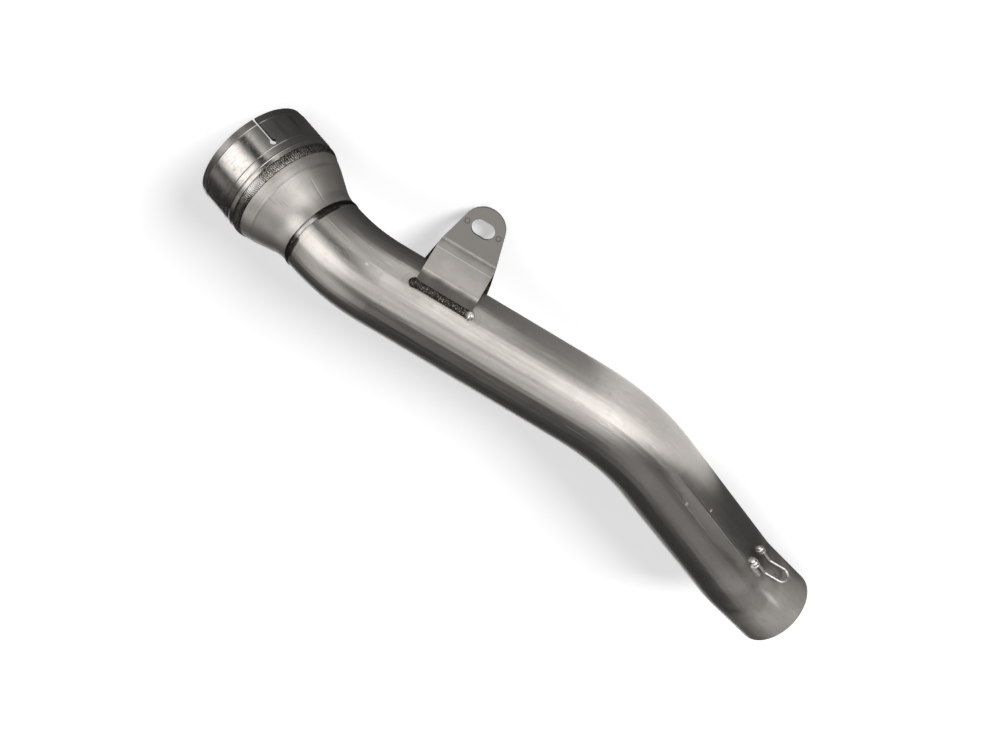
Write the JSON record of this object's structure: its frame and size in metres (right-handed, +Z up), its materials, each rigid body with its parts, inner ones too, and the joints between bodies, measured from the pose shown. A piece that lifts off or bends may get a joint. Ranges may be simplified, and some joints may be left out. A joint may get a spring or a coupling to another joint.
{
  "type": "exhaust link pipe",
  "caption": "Bent stainless exhaust link pipe with a slit inlet collar, a reducer cone, a slotted two-plate bracket and a wire spring hook.",
  "frame": {"origin": "middle of the underside of the box round the pipe as it lies at rest", "axes": "+Z up; +X level, from the middle of the collar mouth towards the middle of the outlet; the pipe rests on the rim of the collar, the rim of the outlet and the round eye of the bracket"},
  "size_m": [0.4722, 0.13, 0.0884],
  "materials": {
    "collar_steel": "turned stainless steel, satin, with fine lines round it",
    "weld_metal": "stainless weld bead, rippled, slightly tinted",
    "cone_steel": "spun stainless steel, satin, warm from heat near its welds",
    "heat_tinted_weld": "dark heat-tinted weld ring",
    "tube_steel": "polished stainless tube with fine scratches",
    "bracket_steel": "cut and bent stainless sheet, satin",
    "hook_wire": "stainless wire, satin"
  },
  "bodies": {
    "root": {"inlet_collar": "collar_steel", "collar_weld": "weld_metal", "reducer_cone": "cone_steel", "cone_weld": "heat_tinted_weld", "main_tube": "tube_steel", "bracket_front_plate": "bracket_steel", "bracket_back_plate": "bracket_steel", "bracket_front_weld": "weld_metal", "bracket_back_weld": "weld_metal", "spring_hook": "hook_wire", "hook_left_weld": "weld_metal", "hook_right_weld": "weld_metal", "hook_side_bead": "weld_metal"}
  },
  "joints": []
}
